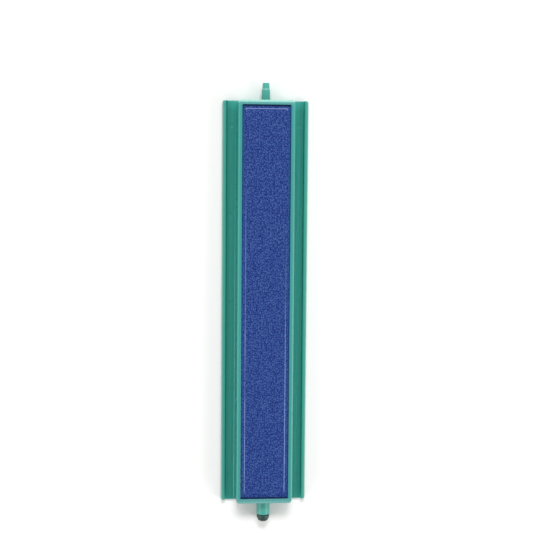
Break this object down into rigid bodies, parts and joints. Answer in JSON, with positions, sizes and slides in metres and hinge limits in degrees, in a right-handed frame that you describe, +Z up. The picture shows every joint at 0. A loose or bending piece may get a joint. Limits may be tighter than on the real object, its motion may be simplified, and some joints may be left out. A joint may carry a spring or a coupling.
{
  "type": "aquarium air stone bar",
  "caption": "Flat bar air diffuser: a porous stone strip bonded in a winged plastic trough, with a hose nipple at one end and a pull-out plug at the other.",
  "frame": {"origin": "centre of the holder's flat base face, midway between the two end walls", "axes": "+Y towards the hose nipple at the inlet end, +Z up out of the stone's face, X across the two wings"},
  "size_m": [0.0494, 0.2558, 0.0124],
  "materials": {
    "green_plastic": "satin",
    "blue_stone": "matte",
    "adhesive": "gloss",
    "dark_rubber": "matte"
  },
  "bodies": {
    "bar": {"holder": "green_plastic", "stone": "blue_stone", "seal_bead": "adhesive"},
    "plug": {"end_plug": "dark_rubber"}
  },
  "joints": [
    {"name": "plug_pull", "type": "slide", "parent": "bar", "child": "plug", "axis": [0, -1, 0], "range_m": [0, 0.01]}
  ]
}
